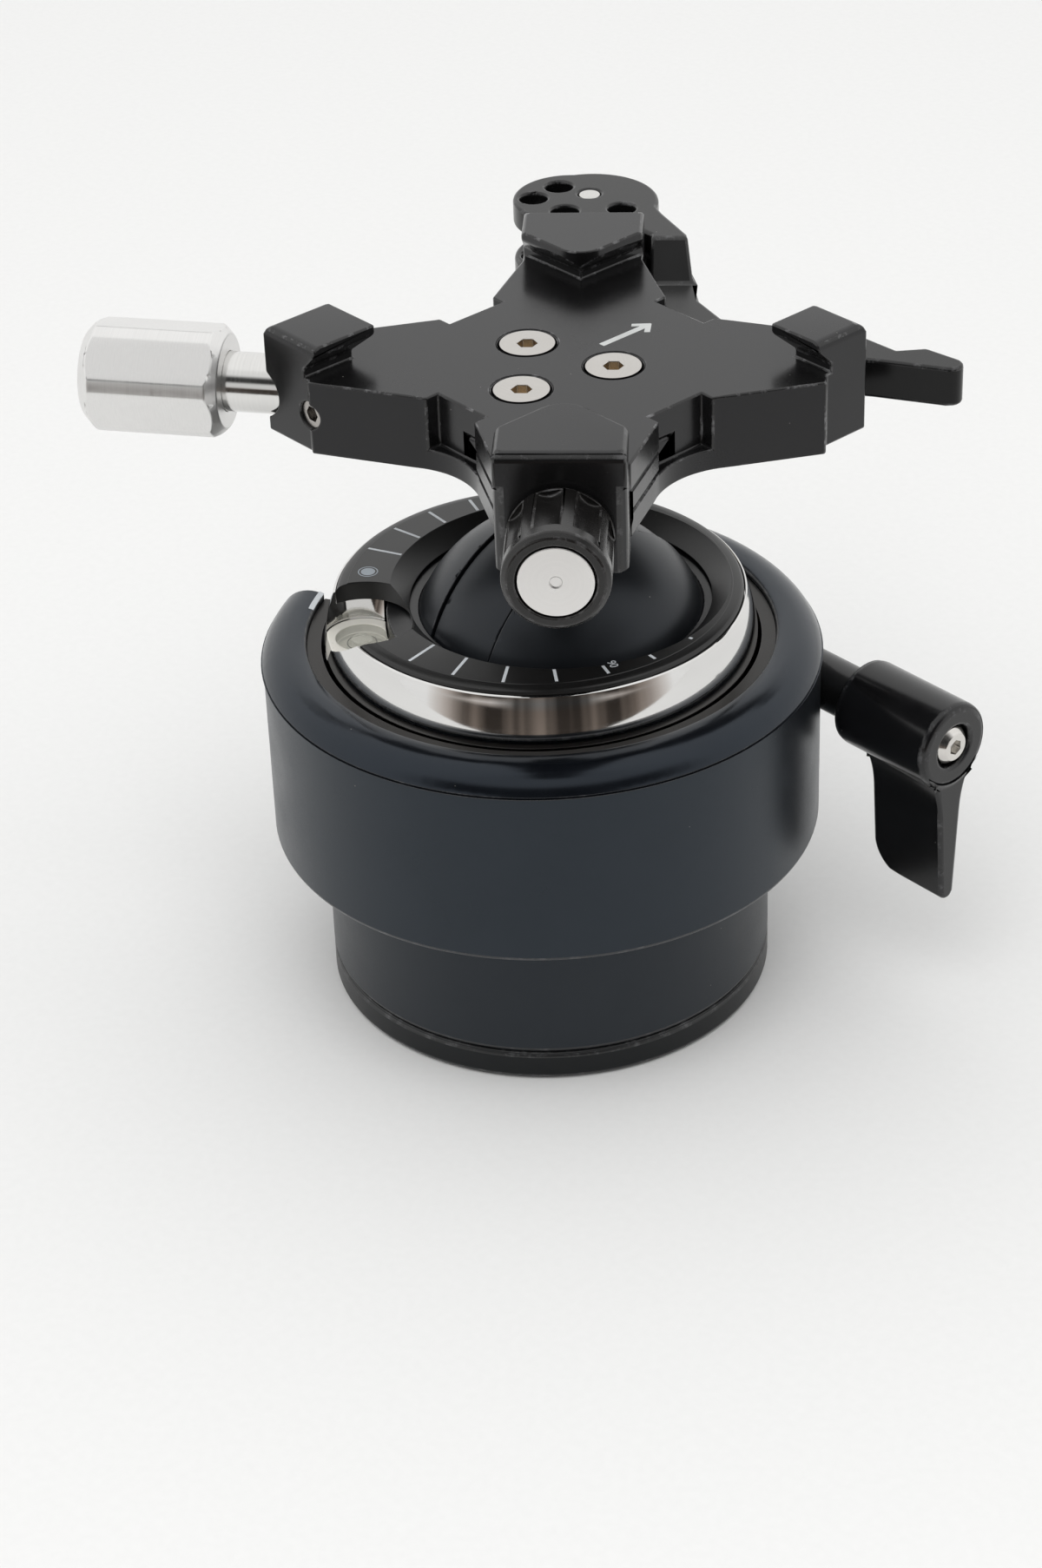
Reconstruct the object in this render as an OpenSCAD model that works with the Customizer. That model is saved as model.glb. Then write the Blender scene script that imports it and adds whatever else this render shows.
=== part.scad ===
// Double ball head: a levelling ball in a round housing, a pan rotor with a
// sprung tilt ball inside it, and a four-jaw quick-release clamp on the stem.
// Millimetres. Z is up, the foot stands on z = 0, +Y is the lens direction.

/* [Foot and housing] */
// Diameter of the foot plate and of the neck above it
foot_d = 65; // [63:1:67]
// Thickness of the foot plate
foot_h = 4.7; // [4.2:0.1:5.4]
// Diameter of the tripod thread's core hole
thread_core_d = 7.94; // [7.8:0.02:8.1]
// Diameter of the housing's straight wall
housing_d = 79.7; // [79:0.1:80.6]
// Height at which the housing overhangs the neck
neck_top = 26; // [25:0.5:27]
// Radius of the rounded rim
rim_round = 5.1; // [4.9:0.1:5.4]
// Height of the rim's lower edge above the foot
rim_low = 53; // [52.6:0.1:53.4]
// Overhang of the rim's round beyond the wall
rim_proud = 0.55; // [0.5:0.05:0.65]
// Half angle of the drop notch in the rim
notch_half = 28; // [24:1:32]
// Depth of the drop notch below the ball's centre
notch_deep = 5; // [4:0.5:7]

/* [Levelling ball] */
// Diameter of the levelling ball
ball_d = 62.4; // [62:0.2:62.8]
// Height of the ball's centre above the foot
ball_z = 51.8; // [51.4:0.1:52.4]
// Height of the dial's face above the ball's centre
dial_up = 10.9; // [10.5:0.1:11.2]
// Thickness of the dial ring
dial_t = 1.8; // [1.5:0.1:2.2]
// Inner radius of the dial ring, round the pan axis
dial_in_r = 23.6; // [23.2:0.1:23.9]
// Running gap between spherical faces
ball_gap = 0.35; // [0.3:0.05:0.45]
// Width of the retaining ring beside the ball
ring_w = 2.3; // [2.2:0.05:2.5]
// Thickness of the floating liner under the ball
liner_t = 0.8; // [0.6:0.1:1]
// Distance of the round level from the ball's axis
level_r = 25.7; // [25.2:0.1:26.2]
// Direction of the round level around the dial
level_at = -121.3; // [-124:0.1:-118]
// Diameter of the round level's pocket
level_d = 10.6; // [10:0.2:11.2]
// Depth of the level's face below the dial
level_down = 4.6; // [4.2:0.1:5]
// Radius at the dial's face of the scoop over the level
scoop_r = 9.3; // [8.8:0.1:9.8]
// Depth of the scoop's slope
scoop_deep = 3.5; // [3:0.1:3.8]
// Distance of the scoop's middle outwards from the level
scoop_out = 1.4; // [1:0.1:1.8]

/* [Tilt ball] */
// Radius of the tilt ball
tilt_r = 21.5; // [21.2:0.1:21.6]
// Width of the tilting disc between the cheeks
tilt_w = 11.2; // [10:0.2:12.4]
// Diameter of the tilt axle
axle_d = 8; // [7:0.2:9]
// Diameter of the stem above the dome
stem_d = 18; // [16:0.5:19]
// Diameter of the stem's flange under the clamp
flange_d = 26; // [25:0.5:27]
// Sideways offset of the pan axis and stem from the levelling ball's middle
stem_x = 2.1; // [1.5:0.1:2.5]
// Offset of the pan axis and stem along the lens direction
stem_y = 2.1; // [1.5:0.1:2.5]

/* [Clamp] */
// Height of the clamp's seat above the foot
seat_z = 97.5; // [97:0.1:98.5]
// Thickness of the clamp plate
plate_t = 10.9; // [10.5:0.1:11.4]
// Shift of the clamp's middle along the lens direction from the stem
clamp_fore = 3.5; // [3:0.1:4]
// Height of the jaws above the seat
jaw_h = 5; // [4.6:0.1:5.6]
// Distance from the clamp's middle to the side jaws' points
side_tip = 27; // [26.5:0.1:27.5]
// Distance from the middle to where the end jaws' edges would meet
end_tip = 21.6; // [21.2:0.1:22.2]
// Width of the end jaws
jaw_w = 17.4; // [16.8:0.1:17.8]
// Distance from the middle to the end jaws' outer faces
jaw_out = 38; // [37.6:0.1:38.6]
// Reach of the left arm
left_out = 42.5; // [42:0.1:43]
// Reach of the right arm
right_out = 40; // [39.5:0.1:40.5]
// Undercut of the jaws' lips
lip_under = 2.3; // [2:0.1:2.6]
// Height of the lip's upright edge
lip_edge = 1.4; // [1.2:0.1:1.6]
// Thickness of the deck above the sliding tongue
deck_t = 4.1; // [3.9:0.1:4.3]
// Thickness of the slot for the tongue
slot_t = 3.4; // [3.2:0.1:3.6]
// Diameter of the clamp screws' heads
screw_head_d = 8; // [7.5:0.1:8.2]
// Diameter of the clamp screws' shanks
screw_d = 4; // [3.8:0.1:4.2]
// Radius of the circle the clamp screws sit on
screw_circle_r = 8.1; // [7.8:0.1:8.3]

/* [Clamp drive] */
// Diameter of the draw rod
rod_d = 4; // [3.8:0.1:4.4]
// Depth of the draw rod below the seat
rod_down = 6.3; // [6.1:0.1:6.5]
// Diameter of the front knob
knob_d = 14.2; // [13.6:0.1:14.6]
// Length of the front knob
knob_l = 12.6; // [11.5:0.1:13.5]
// Diameter of the bright disc in the front knob
disc_d = 9.9; // [9:0.1:10.2]
// Distance from the clamp's middle to the cam pin
pin_back = 54.6; // [54.4:0.1:55.4]
// Diameter of the cam pin
pin_d = 3.2; // [3:0.1:3.4]
// Radius of the cam
cam_r = 10.2; // [10:0.1:10.3]
// Eccentricity of the cam
cam_ecc = 2.6; // [2.4:0.1:2.7]
// Diameter of the tilt lock's knob
lock_d = 16; // [15:0.2:17]
// Length of the tilt lock's knob
lock_l = 20.2; // [19.4:0.2:22]
// Diameter of the tilt lock's spindle
spindle_d = 8.4; // [8:0.1:8.6]
// Angle of the tilt lock's spindle to the side arm
spindle_turn = 8; // [7:0.5:8.5]

/* [Ball lock lever] */
// Offset of the lever's shaft from the housing's axis
lever_y = 34; // [33.8:0.1:34.2]
// Height of the lever's shaft above the foot
lever_z = 42.9; // [42.5:0.1:43.3]
// Diameter of the lever's hub
hub_d = 13; // [12.6:0.1:13.4]
// Gap between the hub and the housing's wall
hub_gap = 1.7; // [1.4:0.1:2.2]
// Length of the hub
hub_l = 17.8; // [17:0.1:18.6]
// Diameter of the lever's shaft
shaft_d = 8; // [7.8:0.1:8.4]
// Reach of the lever's blade below its shaft
blade_l = 26.2; // [25:0.2:28]
// Width of the lever's blade along the shaft
blade_w = 13.7; // [13:0.1:14.5]
// Radius of the blade's inner lower corner
blade_round = 5.5; // [4:0.5:7]
// Diameter of the head of the screw in the lever's end
lever_head_d = 5.8; // [5.4:0.1:6.2]
// Diameter of that screw's shank
lever_screw_d = 3; // [2.8:0.1:3.2]

/* [Hidden] */
$fn = 96;
gap = 0.4;
fine = 0.2;
run = 0.06;
foot_r = foot_d / 2;
housing_r = housing_d / 2;
rim_mid_r = housing_r + rim_proud - rim_round;
rim_z = ball_z - 0.6;
ball_r = ball_d / 2;
cavity_r = ball_r + ring_w;
liner_in = ball_r + ball_gap;
liner_out = liner_in + liner_t;
seat_r = liner_out + ball_gap;
dial_top = ball_z + dial_up;
dial_low = dial_top - dial_t;
level_top = dial_top - level_down;
level_x = level_r * cos(level_at);
level_y = level_r * sin(level_at);
scoop_low_r = level_d / 2 + scoop_out - 0.4;
scoop_slope = (scoop_r - scoop_low_r) / scoop_deep;
spigot_r = 29.5;
spigot_top = neck_top + 4;
washer_t = 0.6;
washer_h = 1;
seat_low = spigot_top + washer_t + washer_h;
seat_top = ball_z - 15.4;
well_r = 26;
ball_low = ball_z - 19.2;
shelf_down = 9.4;
shelf_z = ball_z - shelf_down;
bore_r = dial_in_r + 1.6;
pan_t = 0.6;
rotor_r = bore_r - gap;
rotor_low = shelf_z + pan_t;
rotor_top = dial_low - 0.5;
bowl_r = tilt_r + gap;
throat_r = sqrt(bowl_r * bowl_r - shelf_down * shelf_down) + 2 * gap;
cheek_low = ball_z - 12.9;
cheek_in = tilt_w / 2 + 0.35;
axle_r = axle_d / 2;
axle_half = 17.5;
plate_low = seat_z - plate_t;
stem_low_r = bowl_r + gap;
clamp_y = stem_y + clamp_fore;
stem_u = -clamp_fore / sqrt(2);
arm_w = 11.8;
arm_at = 20.8;
arm_taper = 0.29;
arm_norm = sqrt(1 + arm_taper * arm_taper);
fillet_at = 23.8;
fillet_r = (fillet_at - arm_w + arm_taper * (fillet_at - arm_at)) / arm_norm;
pocket_at = 20.15;
pocket_half = 4.9;
slot_low = deck_t + slot_t;
slot_back = 14.5;
tongue_back = slot_back + 0.2;
pocket_low = slot_low + 0.25;
fillet_bite = 0.03;
front_end = 31;
block_back = front_end + 0.5;
rod_r = rod_d / 2;
cam_face = pin_back - cam_ecc - cam_r - 0.5;
fork_half = 2.7;
fork_top = 0.2;
fork_low = rod_down + fork_half + 3.2;
arm_down = 4.6;
arm_low = plate_t - 0.4;
spindle_r = spindle_d / 2;
lock_from = 46.2;
shaft_r = shaft_d / 2;
hub_r = hub_d / 2;
hub_in = sqrt(pow(housing_r + hub_gap, 2) - pow(lever_y - hub_r, 2));
hub_end = hub_in + hub_l;
spigot_l = hub_l - 6;
head_sunk = 1.9;
cotter_bore = shaft_r + 0.4;
base_screw_r = 21;
screw_depth = (screw_head_d - screw_d) / 2;
screw_ease = 0.05;

// Half width of a clamp arm at a distance from the clamp's middle
function arm_half(d) = arm_w - arm_taper * (d - arm_at);

// Points of a clamp arm that reaches from the middle along +X
function arm_points(d) = [[0, -arm_half(arm_at)], [arm_at, -arm_half(arm_at)], [d, -arm_half(d)],
  [d, arm_half(d)], [arm_at, arm_half(arm_at)], [0, arm_half(arm_at)]];

// Points of an arc from angle a to b
function arc(c, r, a, b, n) = [for (i = [0 : n]) c + r * [cos(a + (b - a) * i / n), sin(a + (b - a) * i / n)]];

// Outline of an end jaw that points towards the middle from +Y
tip_round = 4;
tip_mid = end_tip + tip_round * sqrt(2);
function end_outline() = concat(arc([0, tip_mid], tip_round, 225, 315, 8),
  [[jaw_w / 2, end_tip + jaw_w / 2], [jaw_w / 2, jaw_out], [-jaw_w / 2, jaw_out],
  [-jaw_w / 2, end_tip + jaw_w / 2]]);

// Outline of a side jaw that points towards the middle from +X
function side_outline(out) = let (half = (out - side_tip) / 2)
  [[side_tip, 0], [side_tip + half, -half], [out, 0], [side_tip + half, half]];

module tube(r_in, r_out, z0, z1) {
  translate([0, 0, z0])
    difference() {
      cylinder(r = r_out, h = z1 - z0);
      translate([0, 0, -1])
        cylinder(r = r_in, h = z1 - z0 + 2);
    }
}

module bevel_disc(r, z0, z1, low, high) {
  translate([0, 0, z0])
    cylinder(r1 = r - low, r2 = r, h = low);
  translate([0, 0, z0 + low])
    cylinder(r = r, h = z1 - z0 - low - high);
  translate([0, 0, z1 - high])
    cylinder(r1 = r, r2 = r - high, h = high);
}

module along_x() {
  rotate([0, 90, 0])
    children();
}

module at_pan() {
  translate([stem_x, stem_y, 0])
    children();
}

module at_clamp() {
  translate([stem_x, clamp_y, seat_z])
    rotate([0, 0, 45])
      children();
}

module at_screws(i) {
  translate([stem_u, stem_u, 0])
    rotate([0, 0, 120 * i])
      translate([screw_circle_r, 0, 0])
        children();
}

module hex_socket(across, deep) {
  translate([0, 0, -deep])
    cylinder(d = across / cos(30), h = deep + 1, $fn = 6);
}

module foot_screw_hole(i) {
  rotate([0, 0, 30 + 120 * i])
    translate([base_screw_r, 0, 0])
      children();
}

module base_plate() {
  color([0.1, 0.1, 0.11])
    difference() {
      bevel_disc(foot_r, 0, foot_h, 0.7, 0.5);
      translate([0, 0, -1])
        cylinder(d = thread_core_d, h = foot_h + 2);
      for (i = [0 : 2])
        foot_screw_hole(i) {
          translate([0, 0, -1])
            cylinder(d = screw_d, h = foot_h + 2);
          translate([0, 0, -0.01])
            cylinder(d1 = screw_head_d, d2 = screw_d, h = screw_depth);
        }
    }
}

module base_screw(i) {
  color([0.55, 0.55, 0.56])
    foot_screw_hole(i)
      difference() {
        union() {
          cylinder(d1 = screw_head_d - 2 * screw_ease, d2 = screw_d, h = screw_depth - screw_ease);
          cylinder(d = screw_d, h = foot_h + 4);
        }
        translate([0, 0, -0.01])
          cylinder(d = 2.5 / cos(30), h = 1.6, $fn = 6);
      }
}

module pedestal() {
  color([0.12, 0.12, 0.13])
    difference() {
      union() {
        bevel_disc(foot_r, foot_h, neck_top, 0.6, 0.01);
        translate([0, 0, neck_top - 1])
          cylinder(r = spigot_r, h = spigot_top - neck_top + 1);
      }
      translate([0, 0, foot_h + 6])
        cylinder(r = well_r, h = 40);
      translate([0, 0, foot_h - 1])
        cylinder(d = thread_core_d, h = 9);
      for (i = [0 : 2])
        foot_screw_hole(i)
          translate([0, 0, foot_h - 1])
            cylinder(d = screw_d, h = 5.2);
    }
}

module drop_notch() {
  far = 2 * housing_r;
  translate([0, 0, ball_z - notch_deep])
    linear_extrude(height = 40)
      polygon([[0, 0], [-far * cos(notch_half), far * sin(notch_half)], [-far, 0],
        [-far * cos(notch_half), -far * sin(notch_half)]]);
}

module housing() {
  color([0.13, 0.14, 0.16])
    difference() {
      union() {
        translate([0, 0, neck_top])
          cylinder(r1 = housing_r - 0.5, r2 = housing_r, h = 0.5);
        translate([0, 0, neck_top + 0.5])
          cylinder(r = housing_r, h = rim_low - neck_top - 0.5);
        intersection() {
          translate([0, 0, rim_z])
            rotate_extrude()
              translate([rim_mid_r, 0])
                circle(r = rim_round, $fn = 64);
          translate([0, 0, rim_low])
            cylinder(r = 2 * housing_r, h = 20);
        }
      }
      translate([0, 0, neck_top - 1])
        cylinder(r = spigot_r, h = 8);
      translate([0, 0, spigot_top])
        cylinder(r = cavity_r, h = 60);
      translate([-7, lever_y, lever_z])
        along_x()
          cylinder(r = cotter_bore, h = 60);
      drop_notch();
    }
}

module retaining_ring() {
  color([0.2, 0.19, 0.18])
    difference() {
      tube(liner_in - 3, cavity_r, ball_z + 0.6, ball_z + 3.4);
      translate([0, 0, ball_z])
        sphere(r = liner_in);
      drop_notch();
    }
}

module seat_ring() {
  color([0.75, 0.62, 0.35])
    difference() {
      tube(well_r - 2, cavity_r - fine, seat_low, seat_top);
      translate([0, 0, ball_z])
        sphere(r = seat_r);
    }
}

module seat_washer() {
  in_r = well_r + 1.2;
  out_r = cavity_r - 0.6;
  color([0.6, 0.6, 0.62])
    rotate_extrude()
      polygon([[in_r, spigot_top], [out_r, spigot_top + washer_h],
        [out_r, spigot_top + washer_h + washer_t], [in_r, spigot_top + washer_t]]);
}

module cotter(x0, x1) {
  difference() {
    translate([x0, lever_y, lever_z])
      along_x()
        cylinder(r = cotter_bore, h = x1 - x0);
    translate([x0 - 1, lever_y, lever_z])
      along_x()
        cylinder(r = shaft_r - 1.7 + 0.35, h = x1 - x0 + 2);
    translate([0, 0, ball_z])
      sphere(r = liner_in);
  }
}

module cotter_inner() {
  color([0.72, 0.6, 0.34])
    cotter(-7, -0.5);
}

module cotter_outer() {
  color([0.72, 0.6, 0.34])
    cotter(0.5, 7.6);
}

module lever_shaft() {
  color([0.14, 0.14, 0.15])
    translate([0, lever_y, lever_z])
      along_x()
        difference() {
          union() {
            translate([0, 0, -6.6])
              cylinder(r = shaft_r - 1.7, h = 20);
            translate([0, 0, 8])
              cylinder(r = shaft_r, h = hub_in - 8 + 0.6);
            translate([0, 0, hub_in])
              cylinder(r = shaft_r - 1, h = spigot_l);
          }
          translate([0, 0, hub_in + spigot_l - 3])
            cylinder(d = lever_screw_d, h = 20);
        }
}

module lock_lever() {
  blade_in = hub_end - blade_w;
  half = function (s) 1.25 + 1.6 * (1 - s / blade_l) + (hub_r - 2.4) * pow(max(0, 1 - s / 11), 2);
  side = [for (i = [0 : 20]) [half(2 + (blade_l - 3) * i / 20), -(2 + (blade_l - 3) * i / 20)]];
  back = [for (i = [20 : -1 : 0]) [-side[i][0], side[i][1]]];
  color([0.1, 0.1, 0.11])
    translate([0, lever_y, lever_z])
      difference() {
        union() {
          translate([hub_in, 0, 0])
            along_x() {
              translate([0, 0, 0.6])
                cylinder(r = hub_r, h = hub_l - 1.2);
              cylinder(r1 = hub_r - 0.6, r2 = hub_r, h = 0.6);
              translate([0, 0, hub_l - 0.6])
                cylinder(r1 = hub_r, r2 = hub_r - 0.6, h = 0.6);
            }
          translate([blade_in, 0, 0])
            rotate([90, 0, 90])
              linear_extrude(height = blade_w - 0.3)
                polygon(concat(side, [[0.6, -blade_l], [-0.6, -blade_l]], back));
        }
        translate([hub_in - 1, 0, 0])
          along_x() {
            cylinder(r = shaft_r, h = 1.6);
            cylinder(r = shaft_r - 1, h = spigot_l + 1);
            cylinder(d = lever_screw_d, h = hub_l + 4);
          }
        translate([hub_end - head_sunk, 0, 0])
          along_x()
            cylinder(d = lever_head_d + 0.7, h = 4);
        difference() {
          translate([blade_in - 1, -10, -blade_l - 1])
            cube([blade_round + 1, 20, blade_round + 1]);
          translate([blade_in + blade_round, -11, -blade_l + blade_round])
            rotate([-90, 0, 0])
              cylinder(r = blade_round, h = 22);
        }
      }
}

module lever_screw() {
  color([0.78, 0.77, 0.75])
    translate([hub_end - head_sunk, lever_y, lever_z])
      along_x()
        difference() {
          union() {
            translate([0, 0, -6])
              cylinder(d = lever_screw_d, h = 6.1);
            cylinder(d = lever_head_d, h = 1.2);
            translate([0, 0, 1.2])
              cylinder(d1 = lever_head_d, d2 = lever_head_d - 1.8, h = 0.9);
          }
          translate([0, 0, 2.1])
            hex_socket(2, 1.4);
        }
}

module ball_liner() {
  low = ball_z - liner_in * sin(46);
  high = ball_z - liner_in * sin(30);
  color([0.85, 0.84, 0.8])
    difference() {
      intersection() {
        translate([0, 0, ball_z])
          sphere(r = liner_out);
        translate([0, 0, low])
          cylinder(r = 60, h = high - low);
      }
      translate([0, 0, ball_z])
        sphere(r = liner_in);
    }
}

module level_hole(z0, r) {
  translate([level_x, level_y, z0])
    cylinder(r = r, h = 30);
}

module level_scoop() {
  over = 1;
  rotate([0, 0, level_at])
    translate([level_r + scoop_out, 0, dial_top - scoop_deep])
      cylinder(r1 = scoop_low_r, r2 = scoop_r + scoop_slope * over, h = scoop_deep + over);
}

module outer_ball() {
  color([0.8, 0.8, 0.81])
    difference() {
      intersection() {
        translate([0, 0, ball_z])
          sphere(r = ball_r);
        translate([0, 0, ball_low])
          cylinder(r = 60, h = dial_low - ball_low);
      }
      at_pan()
        translate([0, 0, shelf_z])
          cylinder(r = bore_r, h = 60);
      at_pan()
        translate([0, 0, ball_low - 1])
          cylinder(r = throat_r, h = 40);
      level_hole(level_top - 2.4, level_d / 2);
      level_scoop();
    }
}

module dial_ring() {
  color([0.11, 0.11, 0.11])
    difference() {
      intersection() {
        translate([0, 0, ball_z])
          sphere(r = ball_r);
        translate([0, 0, dial_low])
          cylinder(r = 60, h = dial_t);
      }
      at_pan()
        translate([0, 0, dial_low - 1])
          cylinder(r = dial_in_r, h = 10);
      at_pan()
        translate([0, 0, dial_top - 0.5])
          cylinder(r1 = dial_in_r, r2 = dial_in_r + 0.6, h = 0.6);
      level_scoop();
    }
}

module in_level() {
  difference() {
    intersection() {
      children();
      translate([0, 0, ball_z])
        sphere(r = ball_r - 0.1);
    }
    at_pan()
      translate([0, 0, shelf_z])
        cylinder(r = bore_r - gap / 2, h = 60);
  }
}

module level_cup() {
  color([0.82, 0.8, 0.74])
    in_level()
      translate([level_x, level_y, level_top - 2.4])
        difference() {
          cylinder(r = level_d / 2, h = 2.4);
          translate([0, 0, 1])
            cylinder(r = level_d / 2 - 1.6, h = 4);
        }
}

module level_vial() {
  color([0.86, 0.9, 0.7])
    in_level()
      translate([level_x, level_y, level_top - 1.4])
        cylinder(r = level_d / 2 - 1.6, h = 1.3);
}

module pan_washer() {
  color([0.9, 0.9, 0.86])
    at_pan()
      tube(throat_r + gap, bore_r, shelf_z, rotor_low);
}

module pan_rotor() {
  color([0.12, 0.12, 0.13])
    at_pan()
      difference() {
        translate([0, 0, rotor_low + 0.3])
          cylinder(r = rotor_r, h = rotor_top - rotor_low - 0.3);
        translate([0, 0, ball_z])
          sphere(r = bowl_r);
      }
}

module cheek(side) {
  x0 = side * cheek_in;
  difference() {
    intersection() {
      translate([0, 0, ball_z])
        sphere(r = bowl_r);
      translate([side > 0 ? x0 : x0 - 60, -40, cheek_low])
        cube([60, 80, 60]);
    }
    translate([-40, 0, ball_z])
      along_x()
        cylinder(r = axle_r, h = 80);
    translate([x0 - (side > 0 ? 1 : 8), 0, ball_z])
      along_x()
        cylinder(r = axle_r + 5, h = 9);
    translate([side * (axle_half - 0.6) - (side > 0 ? 0 : 20), 0, ball_z])
      along_x()
        cylinder(r = axle_r + 1.2, h = 20);
  }
}

module cheek_left() {
  color([0.11, 0.11, 0.12])
    at_pan()
      cheek(-1);
}

module cheek_right() {
  color([0.11, 0.11, 0.12])
    at_pan()
      cheek(1);
}

module tilt_axle() {
  color([0.7, 0.7, 0.72])
    at_pan()
      translate([-axle_half, 0, ball_z])
        along_x() {
          cylinder(r = axle_r, h = 2 * axle_half);
          cylinder(r = axle_r + 1, h = 0.6);
          translate([0, 0, 2 * axle_half - 0.6])
            cylinder(r = axle_r + 1, h = 0.6);
        }
}

// Points of one coil ring of a balance spring
function coil_ring(a, r, wire, rise) = [for (k = [0 : 5])
  [(r + wire * cos(60 * k)) * cos(a), (r + wire * cos(60 * k)) * sin(a), rise * a / 360 + wire * sin(60 * k)]];

module coil(r, wire, rise, turns) {
  n = turns * 12;
  pts = [for (i = [0 : n]) each coil_ring(30 * i, r, wire, rise)];
  sides = [for (i = [0 : n - 1], k = [0 : 5]) [6 * i + k, 6 * i + 6 + k, 6 * i + 6 + (k + 1) % 6, 6 * i + (k + 1) % 6]];
  caps = [[for (k = [0 : 5]) k], [for (k = [5 : -1 : 0]) 6 * n + k]];
  polyhedron(points = pts, faces = concat(sides, caps), convexity = 4);
}

module balance_spring_left() {
  color([0.5, 0.5, 0.52])
    at_pan()
      translate([-cheek_in - 7.2, 0, ball_z])
        along_x()
          coil(axle_r + 3.6, 0.7, 1.9, 3);
}

module balance_spring_right() {
  color([0.5, 0.5, 0.52])
    at_pan()
      translate([cheek_in + 7.2, 0, ball_z])
        rotate([0, -90, 0])
          coil(axle_r + 3.6, 0.7, 1.9, 3);
}

module tilt_disc() {
  color([0.1, 0.1, 0.11])
    at_pan()
      difference() {
        intersection() {
          translate([0, 0, ball_z])
            sphere(r = tilt_r);
          translate([-tilt_w / 2, -40, ball_z - 17])
            cube([tilt_w, 80, 60]);
        }
        translate([-40, 0, ball_z])
          along_x()
            cylinder(r = axle_r + run, h = 80);
        translate([0, 0, ball_z])
          cylinder(r = 3, h = 60);
      }
}

module stem_post() {
  cone_h = 5;
  color([0.1, 0.1, 0.11])
    difference() {
      at_pan() {
        difference() {
          union() {
            translate([0, 0, ball_z + 10])
              cylinder(d = stem_d, h = plate_low - ball_z - 10);
            translate([0, 0, plate_low - 3 - cone_h])
              cylinder(d1 = stem_d, d2 = flange_d, h = cone_h);
            translate([0, 0, plate_low - 3])
              cylinder(d = flange_d, h = 3);
          }
          translate([0, 0, ball_z])
            sphere(r = stem_low_r);
        }
        difference() {
          intersection() {
            translate([0, 0, ball_z + 10])
              cylinder(d = stem_d, h = plate_low - ball_z - 10);
            translate([-tilt_w / 2, -40, ball_z])
              cube([tilt_w, 80, 60]);
          }
          translate([0, 0, ball_z])
            sphere(r = tilt_r);
        }
      }
      at_pan()
        translate([0, 0, ball_z])
          cylinder(r = 3, h = 60);
      at_clamp()
        for (i = [0 : 2])
          at_screws(i)
            translate([0, 0, -plate_t - 5])
              cylinder(d = screw_d, h = 10);
    }
}

module brake_rod() {
  color([0.66, 0.66, 0.68])
    at_pan()
      difference() {
        translate([0, 0, ball_z + 2])
          cylinder(r = 3, h = plate_low - ball_z - 2);
        translate([-40, 0, ball_z])
          along_x()
            cylinder(r = axle_r + gap, h = 80);
      }
}

// Cuts the undercut below one lip; the lip's edge runs along X, the jaw is on +Y
module undercut(len) {
  low = jaw_h - lip_edge - lip_under;
  rotate([90, 0, 90])
    translate([0, 0, -len])
      linear_extrude(height = 2 * len)
        polygon([[-6, 0], [lip_under, 0], [lip_under, low], [-1, low + lip_under + 1], [-6, low + lip_under + 1]]);
}

// Takes the sharp top edge off a wall that faces -Y
module edge_break(len, c) {
  rotate([90, 0, 90])
    translate([0, 0, -len])
      linear_extrude(height = 2 * len)
        polygon([[-1, -c], [0, -c], [0.3 * c, -0.3 * c], [c, 0], [c, 1], [-1, 1]]);
}

module end_jaw() {
  difference() {
    linear_extrude(height = jaw_h)
      polygon(end_outline());
    for (s = [-1, 1])
      translate([0, end_tip, 0])
        rotate([0, 0, s * 45])
          undercut(30);
    translate([0, jaw_out, jaw_h])
      rotate([0, 0, 180])
        edge_break(20, 1.3);
    for (s = [-1, 1])
      translate([s * jaw_w / 2, jaw_out, jaw_h])
        rotate([0, 0, s * 90])
          edge_break(30, 0.7);
  }
}

module side_jaw(out) {
  difference() {
    linear_extrude(height = jaw_h)
      polygon(side_outline(out));
    for (s = [-1, 1])
      translate([side_tip, 0, 0])
        rotate([0, 0, -90 + s * 45])
          undercut(30);
    for (s = [-1, 1])
      translate([out, 0, jaw_h])
        rotate([0, 0, 90 + s * 45])
          edge_break(30, 1.3);
  }
}

module plate_outline(h) {
  translate([0, 0, -plate_t])
    linear_extrude(height = h)
      children();
}

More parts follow.
